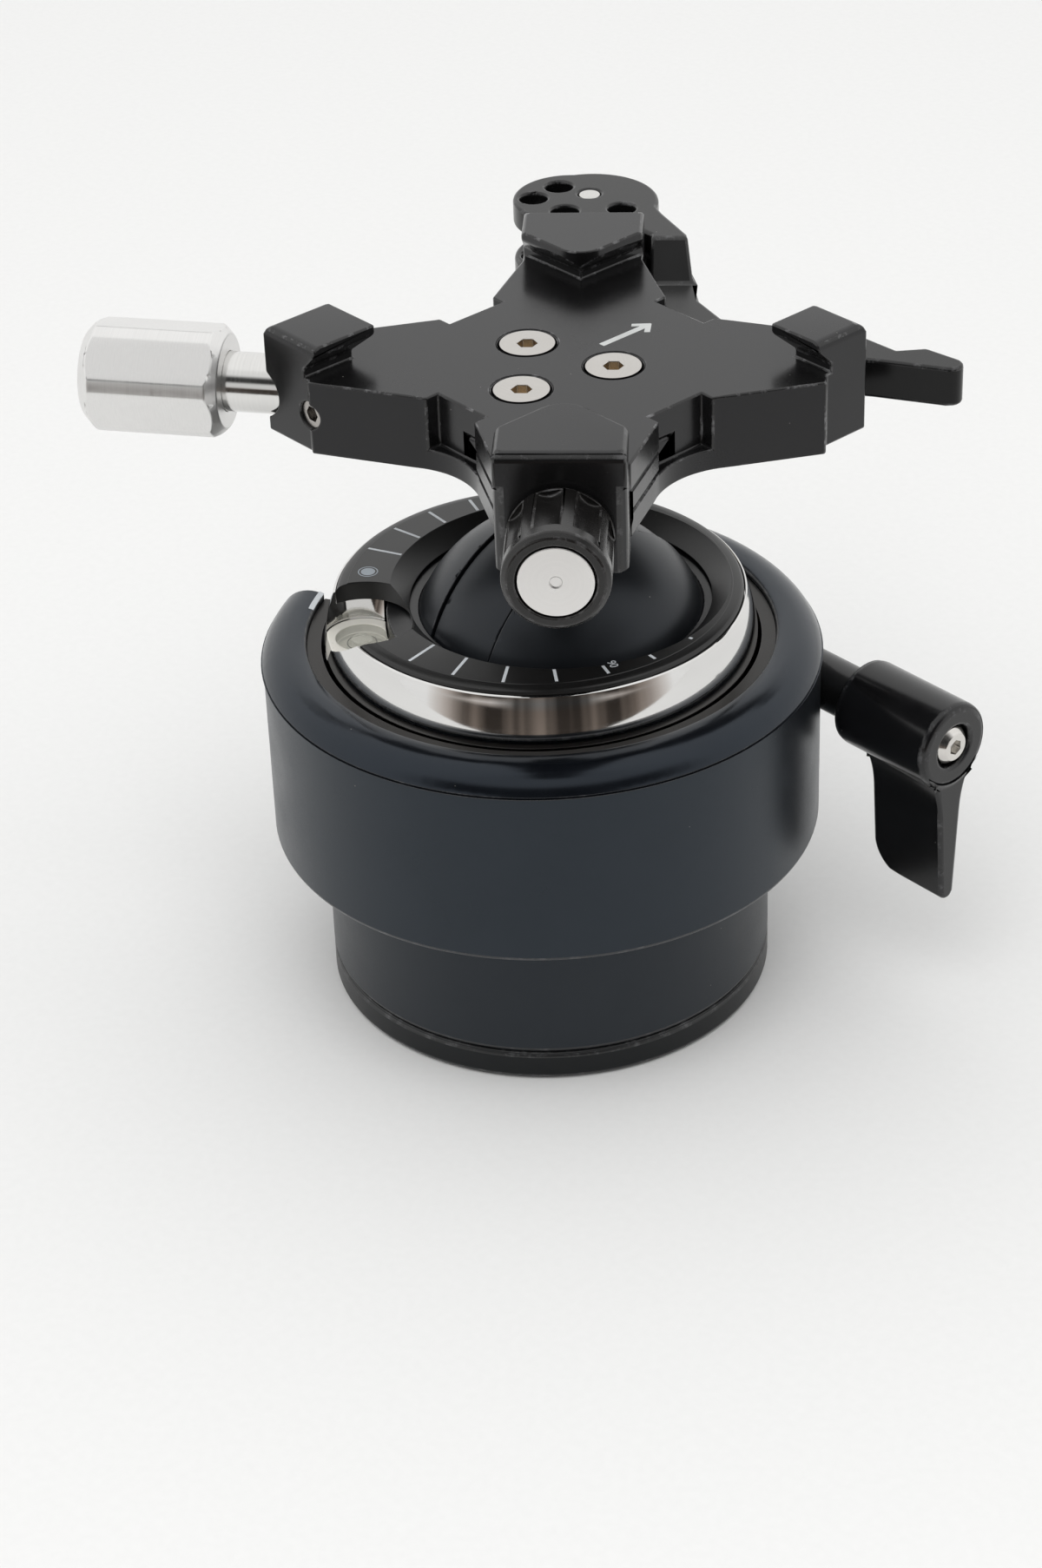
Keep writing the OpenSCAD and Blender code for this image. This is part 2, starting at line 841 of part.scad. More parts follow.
module cross_block() {
  corner = fillet_at - fillet_r * arm_taper / arm_norm + 0.6;
  near = arm_half(corner) - 0.01;
  difference() {
    union() {
      plate_outline(plate_t)
        polygon([[corner, near], [near, corner], [-near, corner], [-corner, near],
          [-corner, -near], [-near, -corner], [near, -corner], [corner, -near]]);
      plate_outline(plate_t)
        polygon(arm_points(side_tip + (right_out - side_tip) / 2 + 1));
      rotate([0, 0, 180])
        plate_outline(plate_t)
          polygon(arm_points(side_tip + (left_out - side_tip) / 2 + 1));
      rotate([0, 0, 90])
        plate_outline(plate_t)
          polygon(arm_points(jaw_out));
      rotate([0, 0, -90])
        plate_outline(plate_t)
          polygon(arm_points(front_end));
      plate_outline(plate_t)
        polygon(side_outline(right_out));
      rotate([0, 0, 180])
        plate_outline(plate_t)
          polygon(side_outline(left_out));
      plate_outline(plate_t)
        polygon([[-jaw_w / 2, 29], [jaw_w / 2, 29], [jaw_w / 2, jaw_out], [-jaw_w / 2, jaw_out]]);
      side_jaw(right_out);
      rotate([0, 0, 180])
        side_jaw(left_out);
      end_jaw();
    }
    for (a = [0 : 90 : 270])
      rotate([0, 0, a])
        translate([fillet_at, fillet_at, -plate_t - 1])
          cylinder(r = fillet_r + fillet_bite, h = plate_t + 2);
    for (a = [45 : 90 : 315])
      rotate([0, 0, a])
        translate([pocket_at, -pocket_half, -pocket_low])
          cube([20, 2 * pocket_half, pocket_low + 1]);
  }
}

module along_spindle() {
  translate([stem_u, stem_u, -plate_t / 2])
    rotate([0, 0, 180 - spindle_turn])
      along_x()
        children();
}

module at_grub() {
  half = (left_out - side_tip) / 2;
  translate([-side_tip - half - 1.2, -half + 1.2, -plate_t / 2])
    rotate([90, 0, -45])
      children();
}

module clamp_body() {
  color([0.12, 0.12, 0.12])
    at_clamp()
      difference() {
        cross_block();
        translate([-30, -60, -slot_low])
          cube([60, 60 - slot_back, slot_t]);
        translate([0, -60, -rod_down])
          rotate([-90, 0, 0])
            cylinder(r = rod_r + gap, h = 120);
        for (i = [0 : 2])
          at_screws(i) {
            translate([0, 0, -plate_t - 1])
              cylinder(d = screw_d, h = plate_t + 2);
            translate([0, 0, -screw_depth])
              cylinder(d1 = screw_d, d2 = screw_head_d, h = screw_depth + 0.01);
            translate([0, 0, -0.25])
              cylinder(d = screw_head_d + 0.5, h = 1);
          }
        along_spindle()
          cylinder(r = spindle_r + gap, h = 80);
        translate([stem_u, stem_u, -plate_t - 1])
          cylinder(r = 3, h = plate_t / 2 - spindle_r + 2);
        at_grub()
          translate([0, 0, -8])
            cylinder(d = 4, h = 12);
      }
}

module clamp_screw(i) {
  color([0.78, 0.77, 0.75])
    at_clamp()
      at_screws(i)
        difference() {
          union() {
            translate([0, 0, -plate_t - 4.5])
              cylinder(d = screw_d, h = plate_t + 3);
            translate([0, 0, -screw_depth + screw_ease])
              cylinder(d1 = screw_d, d2 = screw_head_d - 2 * screw_ease, h = screw_depth - screw_ease);
          }
          hex_socket(2.5, 1.7);
        }
}

module grub_screw() {
  color([0.16, 0.16, 0.17])
    at_clamp()
      at_grub()
        difference() {
          translate([0, 0, -3.6])
            cylinder(d = 4, h = 3.1);
          translate([0, 0, -0.5])
            hex_socket(2, 1.8);
        }
}

module wear_plate() {
  color([0.72, 0.6, 0.34])
    at_clamp()
      difference() {
        translate([-jaw_w / 2 + 1, jaw_out, -plate_t])
          cube([jaw_w - 2, cam_face - jaw_out, plate_t - 0.3]);
        translate([0, jaw_out - 1, -rod_down])
          rotate([-90, 0, 0])
            cylinder(r = rod_r + gap, h = 20);
      }
}

module lock_spindle() {
  color([0.8, 0.8, 0.8])
    at_clamp()
      along_spindle() {
        translate([0, 0, 4])
          cylinder(r1 = 1, r2 = spindle_r, h = 5);
        translate([0, 0, 9])
          cylinder(r = spindle_r, h = lock_from - 9 + 3);
      }
}

module lock_knob() {
  r = lock_d / 2;
  color([0.82, 0.82, 0.82])
    at_clamp()
      along_spindle()
        translate([0, 0, lock_from])
          difference() {
            bevel_disc(r, 0, lock_l, 1.4, 1.8);
            for (k = [0 : 5])
              rotate([0, 0, 60 * k + 13])
                translate([r - 0.55, -r, -1])
                  cube([4, 2 * r, lock_l + 2]);
            translate([0, 0, -1])
              cylinder(r = spindle_r, h = 4);
            translate([0, 0, lock_l - 0.6])
              cylinder(r1 = 5, r2 = 5.6, h = 1);
          }
}

module front_jaw() {
  color([0.11, 0.11, 0.11])
    at_clamp()
      rotate([0, 0, 180])
        difference() {
          union() {
            difference() {
              end_jaw();
              translate([-30, 0, -1])
                cube([60, block_back, 1.15]);
            }
            difference() {
              translate([-jaw_w / 2, block_back, -12.4])
                cube([jaw_w, jaw_out - block_back, 12.5]);
              for (s = [-1, 1])
                translate([s * jaw_w / 2, jaw_out, -20])
                  rotate([0, 0, 45])
                    cube([1.4, 1.4, 60], center = true);
            }
            translate([0, 0, -slot_low + 0.15])
              linear_extrude(height = slot_t - 0.3)
                polygon([[-arm_half(tongue_back), tongue_back], [arm_half(tongue_back), tongue_back],
                  [arm_half(32), 32], [-arm_half(32), 32]]);
          }
          translate([0, 10, -rod_down])
            rotate([-90, 0, 0])
              cylinder(r = rod_r, h = 60);
          for (a = [45, 135])
            rotate([0, 0, a])
              translate([pocket_at, -pocket_half, -slot_low - 1])
                cube([20, 2 * pocket_half, slot_t + 2]);
        }
}

module draw_rod() {
  color([0.7, 0.7, 0.71])
    at_clamp()
      difference() {
        union() {
          translate([0, -jaw_out - knob_l + 3, -rod_down])
            rotate([-90, 0, 0])
              cylinder(r = rod_r, h = jaw_out + knob_l - 3 + pin_back);
          translate([0, pin_back, -rod_down - fork_half + 0.35])
            cylinder(r = 4, h = 2 * fork_half - 0.7);
        }
        translate([0, pin_back, -20])
          cylinder(d = pin_d, h = 40);
      }
}

module along_knob() {
  translate([0, -jaw_out - 0.35, -rod_down])
    rotate([90, 0, 0])
      children();
}

module front_knob() {
  r = knob_d / 2;
  color([0.11, 0.11, 0.11])
    at_clamp()
      along_knob()
        difference() {
          bevel_disc(r, 0, knob_l, 0.5, 0.7);
          for (k = [0 : 7])
            rotate([0, 0, 45 * k + 10])
              translate([r + 1.6, 0, 0.9])
                cylinder(r = 2.6, h = knob_l - 3.6, $fn = 48);
          translate([0, 0, -1])
            cylinder(r = rod_r + run, h = knob_l - 1.5);
          translate([0, 0, knob_l - 1.2])
            cylinder(d = disc_d + 0.5, h = 3);
        }
}

module knob_disc() {
  color([0.85, 0.84, 0.82])
    at_clamp()
      along_knob()
        translate([0, 0, knob_l - 1.2])
          difference() {
            cylinder(d = disc_d, h = 1.1);
            translate([0, 0, 0.95])
              cylinder(r = 0.8, h = 1);
          }
}

// Plan of the lever's arm, from the fork round the clamp to the thumb tab
function arm_plan() = concat([[9.6, pin_back - 8], [9.6, 31], [13.4, 20.8], [17.5, 16.6], [22, 13.2], [36.5, 9.2],
  [41.3, 8.2], [51.2, 5.4]], arc([51.8, 7.2], 1.8, -72, 50, 6),
  [[48.7, 12], [44.5, 11.4], [40.3, 15.4], [30, 18], [20.5, 21], [16.8, 27.5], [14.8, 40], [11, pin_back - 7]]);

module ear(z0, z1) {
  translate([0, pin_back, z0]) {
    translate([0.2, -cam_ecc, 0])
      cylinder(r = cam_r, h = z1 - z0);
    translate([-3, -1.2, 0])
      cylinder(r = 8.4, h = z1 - z0);
  }
  translate([0, 0, z0])
    linear_extrude(height = z1 - z0)
      polygon([[2, pin_back + 6], [6.6, 43.2], [9.6, 40], [9.6, 33], [15.9, 33], [14.8, 40], [11, pin_back - 7],
        [7, pin_back + 3.4]]);
}

module cam_lever() {
  color([0.12, 0.12, 0.13])
    at_clamp()
      difference() {
        union() {
          ear(-rod_down + fork_half, fork_top);
          ear(-fork_low, -rod_down - fork_half);
          translate([0, 0, -fork_low])
            linear_extrude(height = fork_low + fork_top)
              polygon([[7.2, pin_back + 2.5], [7.2, 43], [9.6, 40], [9.6, 33], [15.9, 33], [14.8, 40],
                [11, pin_back - 7]]);
          translate([0, 0, -arm_low])
            linear_extrude(height = arm_low - arm_down)
              polygon(arm_plan());
        }
        translate([0, pin_back, -30])
          cylinder(d = pin_d + 2 * run, h = 60);
        for (p = [[-4.7, 2.6], [-8.3, -1.6], [-3.4, -6.2], [5, -5.4]])
          translate([p[0], pin_back + p[1], -30])
            cylinder(d = 4, h = 60);
        translate([-40, 33, -arm_down])
          rotate([40, 0, 0])
            cube([80, 60, 30]);
        translate([-40, 0, -30 - arm_low])
          cube([120, 34, 30]);
      }
}

module cam_pin() {
  color([0.78, 0.77, 0.75])
    at_clamp()
      translate([0, pin_back, -fork_low])
        cylinder(d = pin_d, h = fork_low + fork_top - 0.1);
}

base_plate();
base_screw(0);  // base_screw_a
base_screw(1);  // base_screw_b
base_screw(2);  // base_screw_c
pedestal();
housing();
retaining_ring();
seat_ring();
seat_washer();
cotter_inner();
cotter_outer();
lever_shaft();
lock_lever();
lever_screw();
ball_liner();
outer_ball();
dial_ring();
level_cup();
level_vial();
pan_washer();
pan_rotor();
cheek_left();
cheek_right();
tilt_axle();
balance_spring_left();
balance_spring_right();
tilt_disc();
stem_post();
brake_rod();
clamp_body();
clamp_screw(0);  // clamp_screw_a
clamp_screw(1);  // clamp_screw_b
clamp_screw(2);  // clamp_screw_c
grub_screw();
wear_plate();
lock_spindle();
lock_knob();
front_jaw();
draw_rod();
front_knob();
knob_disc();
cam_lever();
cam_pin();
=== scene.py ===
import math

import bmesh
import bpy
from mathutils import Matrix, Vector


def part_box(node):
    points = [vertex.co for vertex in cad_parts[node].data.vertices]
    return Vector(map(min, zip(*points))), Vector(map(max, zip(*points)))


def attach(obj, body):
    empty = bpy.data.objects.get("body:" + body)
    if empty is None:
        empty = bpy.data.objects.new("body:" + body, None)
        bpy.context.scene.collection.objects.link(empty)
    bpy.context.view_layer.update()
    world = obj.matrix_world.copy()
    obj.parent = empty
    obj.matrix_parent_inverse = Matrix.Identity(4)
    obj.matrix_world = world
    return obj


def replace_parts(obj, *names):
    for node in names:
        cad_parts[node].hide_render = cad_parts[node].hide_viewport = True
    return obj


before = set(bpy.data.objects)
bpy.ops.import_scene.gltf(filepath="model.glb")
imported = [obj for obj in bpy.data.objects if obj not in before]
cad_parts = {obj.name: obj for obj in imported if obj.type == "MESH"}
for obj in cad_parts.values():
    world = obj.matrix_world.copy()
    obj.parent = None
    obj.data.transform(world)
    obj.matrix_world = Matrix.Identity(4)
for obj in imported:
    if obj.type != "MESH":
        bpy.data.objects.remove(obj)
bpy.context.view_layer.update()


# The foot plate is the turned aluminium disc that stands on the tripod. It is
# dyed black, its edges are broken, and three screws from below hold it on.
mm = 0.001


def add(tree, kind, **inputs):
    """Adds one node and sets or links its inputs, by name or as i0, i1 by place."""
    node = tree.nodes.new("ShaderNode" + kind)
    for name, value in inputs.items():
        key = int(name[1:]) if name[0] == "i" and name[1:].isdigit() else name.replace("_", " ")
        if isinstance(value, bpy.types.NodeSocket):
            tree.links.new(value, node.inputs[key])
        else:
            node.inputs[key].default_value = value
    return node


def sum_of(tree, how, *values):
    """One Math node, which gives a single value."""
    node = add(tree, "Math", **{"i%d" % i: value for i, value in enumerate(values)})
    node.operation = how
    return node.outputs[0]


def ramp(tree, value, low, high, from_value, to_value):
    """Takes a value from one range to another and holds it inside."""
    return add(tree, "MapRange", i0=value, i1=low, i2=high, i3=from_value, i4=to_value).outputs[0]


def blend(tree, share, first, second):
    """Mixes two colours."""
    node = tree.nodes.new("ShaderNodeMix")
    node.data_type = "RGBA"
    for socket, value in ((node.inputs[0], share), (node.inputs[6], first), (node.inputs[7], second)):
        if isinstance(value, bpy.types.NodeSocket):
            tree.links.new(value, socket)
        else:
            socket.default_value = value
    return node.outputs[2]


def new_group(name, inputs, outputs):
    """An empty node group with its sockets."""
    group = bpy.data.node_groups.new(name, "ShaderNodeTree")
    for label, kind, value in inputs:
        socket = group.interface.new_socket(label, in_out="INPUT", socket_type="NodeSocket" + kind)
        socket.default_value = value
    for label, kind in outputs:
        group.interface.new_socket(label, in_out="OUTPUT", socket_type="NodeSocket" + kind)
    return group, group.nodes.new("NodeGroupInput").outputs, group.nodes.new("NodeGroupOutput").inputs


def place(tree, group, **inputs):
    """One placed copy of a node group with its own values."""
    node = tree.nodes.new("ShaderNodeGroup")
    node.node_tree = group
    for name, value in inputs.items():
        socket = node.inputs[name.replace("_", " ")]
        if isinstance(value, bpy.types.NodeSocket):
            tree.links.new(value, socket)
        else:
            socket.default_value = value
    return node.outputs


def make_dyed_skin():
    """Blasted and dyed aluminium: fine grain, slow changes of tone and gloss, specks of dust."""
    group, have, give = new_group(
        "dyed_skin",
        [("Colour", "Color", (0.01, 0.01, 0.01, 1)), ("Roughness", "Float", 0.35), ("Grain", "Float", 0.3),
         ("Tone Shift", "Float", 0.25), ("Gloss Shift", "Float", 0.06), ("Dust", "Float", 0.6)],
        [("Colour", "Color"), ("Roughness", "Float"), ("Height", "Float")])
    where = add(group, "TexCoord").outputs["Object"]
    fine = add(group, "TexNoise", Vector=where, Scale=sum_of(group, "DIVIDE", 1000.0, have["Grain"]), Detail=3.0,
               Roughness=0.6).outputs[0]
    slow = add(group, "TexNoise", Vector=where, Scale=95.0, Detail=5.0, Roughness=0.6).outputs[0]
    tone = sum_of(group, "MULTIPLY_ADD", ramp(group, slow, 0.3, 0.7, -1.0, 1.0), have["Tone Shift"], 1.0)
    shaded = add(group, "VectorMath", i0=have["Colour"])
    shaded.operation = "SCALE"
    group.links.new(tone, shaded.inputs["Scale"])
    both = sum_of(group, "MULTIPLY_ADD", ramp(group, fine, 0.25, 0.75, -1.0, 1.0), 0.6,
                  ramp(group, slow, 0.3, 0.7, -0.7, 0.7))
    gloss = sum_of(group, "MULTIPLY_ADD", both, have["Gloss Shift"], have["Roughness"])
    cells = add(group, "TexVoronoi", Vector=where, Scale=330.0)
    rare = sum_of(group, "GREATER_THAN", add(group, "SeparateColor", i0=cells.outputs["Color"]).outputs[0], 0.62)
    speck = sum_of(group, "MULTIPLY", ramp(group, cells.outputs["Distance"], 0.016, 0.032, 1.0, 0.0),
                   sum_of(group, "MULTIPLY", rare, have["Dust"]))
    group.links.new(blend(group, speck, shaded.outputs[0], (0.36, 0.34, 0.31, 1)), give["Colour"])
    group.links.new(sum_of(group, "MULTIPLY_ADD", speck, 0.4, gloss), give["Roughness"])
    group.links.new(sum_of(group, "MULTIPLY_ADD", speck, 2.0, fine), give["Height"])
    return group


def make_rubbed_edge_and_highlight():
    """A broken edge where hands have rubbed the dye thin, down to bright metal in places; the bright patches are
    partly wear and partly a painted highlight along the edge.
    """
    group, have, give = new_group(
        "rubbed_edge_and_highlight",
        [("Colour", "Color", (0.02, 0.02, 0.02, 1)), ("Roughness", "Float", 0.3), ("Rub", "Float", 0.4)],
        [("Colour", "Color"), ("Roughness", "Float"), ("Metallic", "Float")])
    where = add(group, "TexCoord").outputs["Object"]
    patch = add(group, "TexNoise", Vector=where, Scale=420.0, Detail=6.0, Roughness=0.7).outputs[0]
    share = sum_of(group, "MULTIPLY", ramp(group, patch, 0.52, 0.78, 0.0, 1.0), have["Rub"])
    group.links.new(blend(group, share, have["Colour"], (0.34, 0.34, 0.35, 1)), give["Colour"])
    group.links.new(sum_of(group, "MULTIPLY_ADD", patch, 0.1, have["Roughness"]), give["Roughness"])
    group.links.new(share, give["Metallic"])
    return group


dyed_skin = make_dyed_skin()
rubbed_edge_and_highlight = make_rubbed_edge_and_highlight()


def new_material(name):
    """A material, its node tree and its shader."""
    material = bpy.data.materials.new(name)
    material.use_nodes = True
    return material, material.node_tree, material.node_tree.nodes["Principled BSDF"]


def dyed(name, colour, roughness, grain=0.3, depth=0.004, tone=0.25, gloss=0.05, dust=0.6, rub=0.35, tint=(1, 1, 1)):
    """Dyed aluminium as a pair: the skin, and the rubbed edges that go with it, whose colour is the skin's lifted as a
    painted highlight.

    The tint is the dye's own colour in the gloss."""
    skin, tree, shader = new_material(name)
    out = place(tree, dyed_skin, Colour=(*colour, 1), Roughness=roughness, Grain=grain, Tone_Shift=tone,
                Gloss_Shift=gloss, Dust=dust)
    shader.inputs["Specular Tint"].default_value = (*tint, 1)
    tree.links.new(out["Colour"], shader.inputs["Base Color"])
    tree.links.new(out["Roughness"], shader.inputs["Roughness"])
    bump = add(tree, "Bump", Height=out["Height"], Distance=depth * mm, Strength=0.6)
    tree.links.new(bump.outputs[0], shader.inputs["Normal"])
    # The edges' colour is the skin's lifted 1.8 times: a painted highlight along all broken edges, with worn patches
    # of bright metal on top.
    edge, tree, shader = new_material(name + "_edge")
    out = place(tree, rubbed_edge_and_highlight, Colour=(*[c * 1.8 for c in colour], 1), Roughness=max(0.16, roughness - 0.1),
                Rub=rub)
    tree.links.new(out["Colour"], shader.inputs["Base Color"])
    tree.links.new(out["Roughness"], shader.inputs["Roughness"])
    tree.links.new(out["Metallic"], shader.inputs["Metallic"])
    return skin, edge


def dress(name, finish, edge=0.0, steps=2, angle=32, inside=None):
    """Gives a solid of the frame its finish, smooth curves and broken edges.

    A finish is one material, or a skin, its edges and what goes on the faces that are inside."""
    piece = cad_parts[name]
    piece.data.materials.clear()
    for material in finish if isinstance(finish, tuple) else (finish,):
        piece.data.materials.append(material)
    bpy.context.view_layer.objects.active = piece
    bpy.ops.mesh.customdata_custom_splitnormals_clear()
    piece.data.polygons.foreach_set("use_smooth", [True] * len(piece.data.polygons))
    piece.data.polygons.foreach_set("material_index", [2 if inside and inside(face.center / mm) else 0
                                                       for face in piece.data.polygons])
    piece.modifiers.new("weld", "WELD").merge_threshold = 3e-6
    flats = piece.modifiers.new("flats", "DECIMATE")
    flats.decimate_type = "DISSOLVE"
    flats.angle_limit = math.radians(0.6)
    if edge:
        broken = piece.modifiers.new("edges", "BEVEL")
        broken.width = edge * mm
        broken.segments = steps
        broken.limit_method = "ANGLE"
        broken.angle_limit = math.radians(angle)
        broken.use_clamp_overlap = False
        broken.harden_normals = True
        broken.material = 1 if isinstance(finish, tuple) else -1
    even = piece.modifiers.new("normals", "WEIGHTED_NORMAL")
    even.keep_sharp = True
    even.weight = 80
    return piece


dress("base_plate", dyed("foot_black", (0.006, 0.0062, 0.0065), 0.36, tint=(0.45, 0.48, 0.5)), 0.3)


# The foot's three countersunk screws are turned steel with a hex socket. Their
# heads lie flush in the underside, and their shanks go up into the neck.
def make_turning_marks():
    """Fine rings that a lathe tool leaves, round any axis: a height, a gloss and a tone."""
    group, have, give = new_group(
        "turning_marks",
        [("Colour", "Color", (0.7, 0.7, 0.7, 1)), ("Roughness", "Float", 0.25), ("Middle", "Vector", (0, 0, 0)),
         ("Axis", "Vector", (0, 0, 1)), ("Pitch", "Float", 0.12), ("Gloss Shift", "Float", 0.06),
         ("Tone Shift", "Float", 0.06)],
        [("Colour", "Color"), ("Roughness", "Float"), ("Height", "Float")])
    where = add(group, "VectorMath", i0=add(group, "TexCoord").outputs["Object"], i1=have["Middle"])
    where.operation = "SUBTRACT"
    along = add(group, "VectorMath", i0=where.outputs[0], i1=have["Axis"])
    along.operation = "DOT_PRODUCT"
    out = add(group, "VectorMath", i0=where.outputs[0], i1=have["Axis"])
    out.operation = "CROSS_PRODUCT"
    radius = add(group, "VectorMath", i0=out.outputs[0])
    radius.operation = "LENGTH"
    rings = add(group, "CombineXYZ", i0=along.outputs["Value"], i1=radius.outputs["Value"])
    scale = sum_of(group, "DIVIDE", 1000.0, have["Pitch"])
    mark = add(group, "TexNoise", Vector=rings.outputs[0], Scale=scale, Detail=4.0, Roughness=0.65).outputs[0]
    smear = add(group, "TexNoise", Vector=where.outputs[0], Scale=160.0, Detail=5.0, Roughness=0.6).outputs[0]
    even = ramp(group, mark, 0.25, 0.75, -1.0, 1.0)
    cloud = ramp(group, smear, 0.3, 0.7, -1.0, 1.0)
    both = sum_of(group, "MULTIPLY_ADD", cloud, 0.5, even)
    tone = sum_of(group, "MULTIPLY_ADD", both, have["Tone Shift"], 1.0)
    shaded = add(group, "VectorMath", i0=have["Colour"])
    shaded.operation = "SCALE"
    group.links.new(tone, shaded.inputs["Scale"])
    group.links.new(shaded.outputs[0], give["Colour"])
    group.links.new(sum_of(group, "MULTIPLY_ADD", both, have["Gloss Shift"], have["Roughness"]), give["Roughness"])
    group.links.new(mark, give["Height"])
    return group


turning_marks = make_turning_marks()


def bare(name, colour, roughness, middle=(0, 0, 0), axis=(0, 0, 1), pitch=0.12, depth=0.002, gloss=0.05, tone=0.06):
    """Bare turned metal with its tool marks round the given axis, in millimetres."""
    material, tree, shader = new_material(name)
    shader.inputs["Metallic"].default_value = 1
    out = place(tree, turning_marks, Colour=(*colour, 1), Roughness=roughness, Middle=[c * mm for c in middle],
                Axis=axis, Pitch=pitch, Gloss_Shift=gloss, Tone_Shift=tone)
    tree.links.new(out["Colour"], shader.inputs["Base Color"])
    tree.links.new(out["Roughness"], shader.inputs["Roughness"])
    bump = add(tree, "Bump", Height=out["Height"], Distance=depth * mm, Strength=0.5)
    tree.links.new(bump.outputs[0], shader.inputs["Normal"])
    return material


screw_steel = bare("screw_steel", (0.42, 0.41, 0.4), 0.3)
for letter in "abc":
    dress("base_screw_" + letter, screw_steel, 0.12)


# The neck is turned from the same aluminium as the foot and dyed black. It
# widens upwards and carries the housing on its shoulder.
dress("pedestal", dyed("neck_black", (0.007, 0.0078, 0.0088), 0.36, tint=(0.72, 0.82, 0.95)), 0.35)


# The housing is the big turned cup round the ball, with a rounded rim that
# stands a little proud. Its wall is finely blasted, its rim is smooth, and both
# are dyed a slightly blue black.
rim_low, rim_inside = 46.5, 33.2
housing_black = dyed("housing_black", (0.0062, 0.0072, 0.009), 0.33, grain=0.26, depth=0.006, gloss=0.06,
                     tint=(0.7, 0.84, 1))
rim_black = dyed("rim_black", (0.0035, 0.0042, 0.0058), 0.2, grain=0.3, depth=0.002, gloss=0.04, tint=(0.72, 0.84, 1))
dress("housing", (*housing_black, rim_black[0]), 0.3,
      inside=lambda at: at.z > rim_low and math.hypot(at.x, at.y) > rim_inside)


# Inside the rim lies the retaining ring that keeps the ball in, and below the
# ball the seat ring on its washer and the two halves that clamp the lever's bolt.
lever_at, lever_axis = (0, 34, 42.9), (1, 0, 0)
dress("retaining_ring", dyed("ring_dark", (0.007, 0.006, 0.0055), 0.3, rub=0.1, tint=(0.6, 0.58, 0.55)), 0.12)
dress("seat_ring", bare("seat_aluminium", (0.62, 0.62, 0.63), 0.3), 0.15)
dress("seat_washer", bare("washer_steel", (0.5, 0.49, 0.48), 0.35), 0.08)
cotter_brass = bare("cotter_brass", (0.66, 0.5, 0.22), 0.3, lever_at, lever_axis)
dress("cotter_inner", cotter_brass, 0.12)
dress("cotter_outer", cotter_brass, 0.12)


# The lock lever turns on a black bolt that goes in beside the ball. Its hub and
# blade are cast in one, polished and dyed, and a button-head screw holds it.
dress("lever_shaft", dyed("shaft_black", (0.01, 0.01, 0.01), 0.24), 0.15)
lever_black = dyed("lever_black", (0.0055, 0.0055, 0.006), 0.19, grain=0.5, depth=0.003, gloss=0.05)
dress("lock_lever", lever_black, 0.6, steps=3)
dress("lever_screw", bare("lever_screw_nickel", (0.68, 0.66, 0.63), 0.17, lever_at, lever_axis, pitch=0.2), 0.15)


# The levelling ball is turned aluminium, polished to a mirror, on a floating
# liner of slippery white plastic.
def moulded(name, colour, roughness, grain=0.4, depth=0.006):
    """Plain moulded plastic with a slightly uneven skin."""
    material, tree, shader = new_material(name)
    out = place(tree, dyed_skin, Colour=(*colour, 1), Roughness=roughness, Grain=grain, Tone_Shift=0.05,
                Gloss_Shift=0.08, Dust=0.0)
    tree.links.new(out["Colour"], shader.inputs["Base Color"])
    tree.links.new(out["Roughness"], shader.inputs["Roughness"])
    bump = add(tree, "Bump", Height=out["Height"], Distance=depth * mm, Strength=0.5)
    tree.links.new(bump.outputs[0], shader.inputs["Normal"])
    return material


def lathe(outline, middle=(0, 0), count=240):
    """A mesh: a closed outline of radius and height, turned round an upright axis."""
    bm = bmesh.new()
    rings = []
    for i in range(count):
        c, s = math.cos(2 * math.pi * i / count), math.sin(2 * math.pi * i / count)
        rings.append([bm.verts.new((middle[0] + r * c, middle[1] + r * s, z)) for r, z in outline])
    for i in range(count):
        a, b = rings[i], rings[(i + 1) % count]
        for k in range(len(outline)):
            n = (k + 1) % len(outline)
            bm.faces.new((a[k], b[k], b[n], a[n]))
    bmesh.ops.remove_doubles(bm, verts=bm.verts, dist=1e-5)
    bmesh.ops.recalc_face_normals(bm, faces=bm.faces)
    return bm


def carve(bm, *tools):
    """Cuts closed meshes out of another one."""
    blanks = []
    for part in (bm,) + tools:
        mesh = bpy.data.meshes.new("blank")
        part.to_mesh(mesh)
        part.free()
        blanks.append(bpy.data.objects.new("blank", mesh))
        bpy.context.scene.collection.objects.link(blanks[-1])
    for tool in blanks[1:]:
        step = blanks[0].modifiers.new("cut", "BOOLEAN")
        step.operation = "DIFFERENCE"
        step.solver = "EXACT"
        step.object = tool
    bpy.context.view_layer.update()
    cut = bpy.data.meshes.new_from_object(blanks[0].evaluated_get(bpy.context.evaluated_depsgraph_get()))
    result = bmesh.new()
    result.from_mesh(cut)
    for blank in blanks:
        bpy.data.objects.remove(blank)
    return result


def finish_mesh(name, bm, material, body, smooth=None):
    """Turns a mesh under construction, in millimetres, into a piece on a body."""
    bm.normal_update()
    bmesh.ops.recalc_face_normals(bm, faces=bm.faces)
    for edge in bm.edges:
        edge.smooth = (smooth is not None and len(edge.link_faces) == 2
                       and edge.calc_face_angle(0) < math.radians(smooth))
    for face in bm.faces:
        face.smooth = smooth is not None
    bmesh.ops.scale(bm, vec=(mm, mm, mm), verts=bm.verts)
    mesh = bpy.data.meshes.new(name)
    bm.to_mesh(mesh)
    bm.free()
    mesh.materials.append(material)
    piece = bpy.data.objects.new(name, mesh)
    bpy.context.scene.collection.objects.link(piece)
    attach(piece, body)
    return piece


